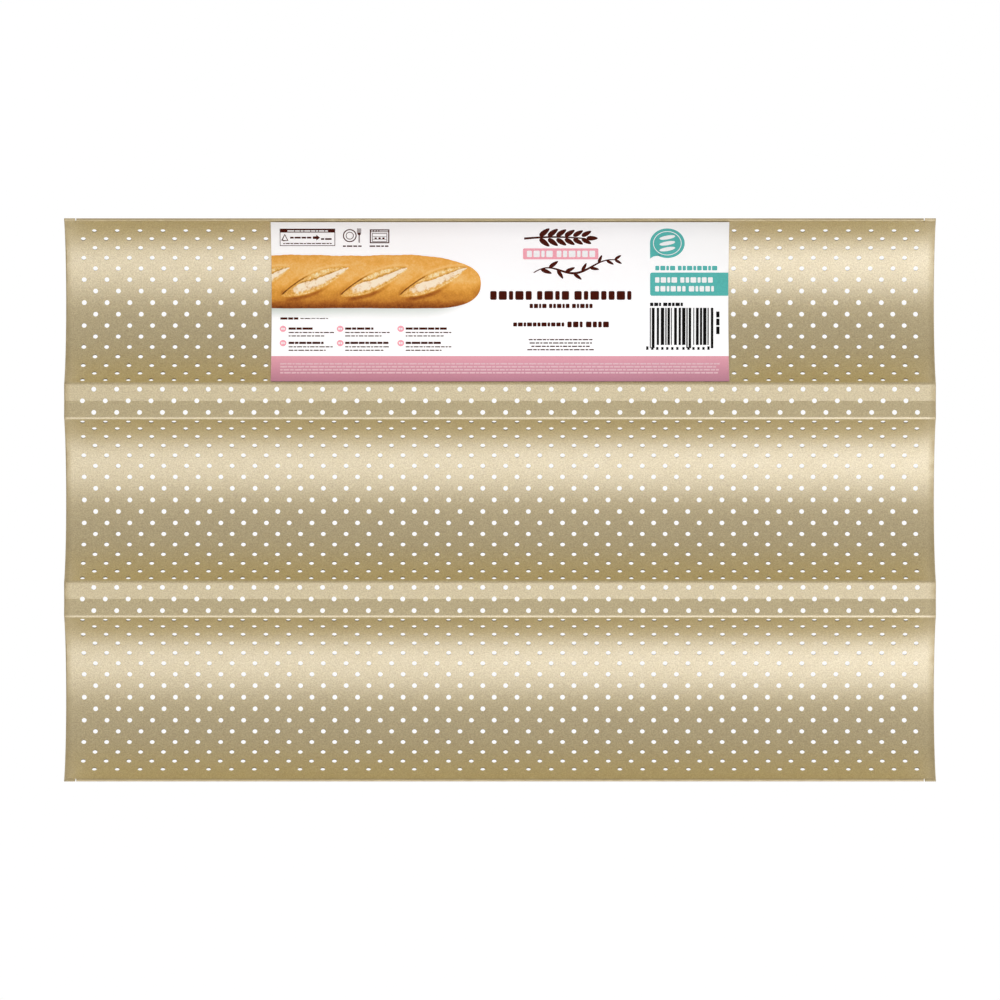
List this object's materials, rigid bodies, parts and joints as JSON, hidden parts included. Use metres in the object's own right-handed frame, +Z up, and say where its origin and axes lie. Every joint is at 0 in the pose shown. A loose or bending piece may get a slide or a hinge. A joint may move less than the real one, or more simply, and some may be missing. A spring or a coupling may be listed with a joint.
{
  "type": "baguette tray",
  "caption": "Perforated gold-coated steel tray with long round-bottomed channels for baking baguettes, hemmed edges, and a loose printed retail card lying in one channel.",
  "frame": {"origin": "on the surface the tray stands on, under the middle of the tray", "axes": "+X along the channels, +Y across them towards the channel that holds the card, +Z up"},
  "size_m": [0.383, 0.2474, 0.0225],
  "materials": {
    "champagne_coating": "satin metallic champagne-gold non-stick coating with a fine grain",
    "white_card": "satin white printed card"
  },
  "bodies": {
    "tray": {"tray_sheet": "champagne_coating"},
    "card": {"label_card": "white_card"}
  },
  "joints": [
    {"name": "card_lift", "type": "slide", "parent": "tray", "child": "card", "axis": [0, 0, 1], "range_m": [0, 0.06]}
  ]
}
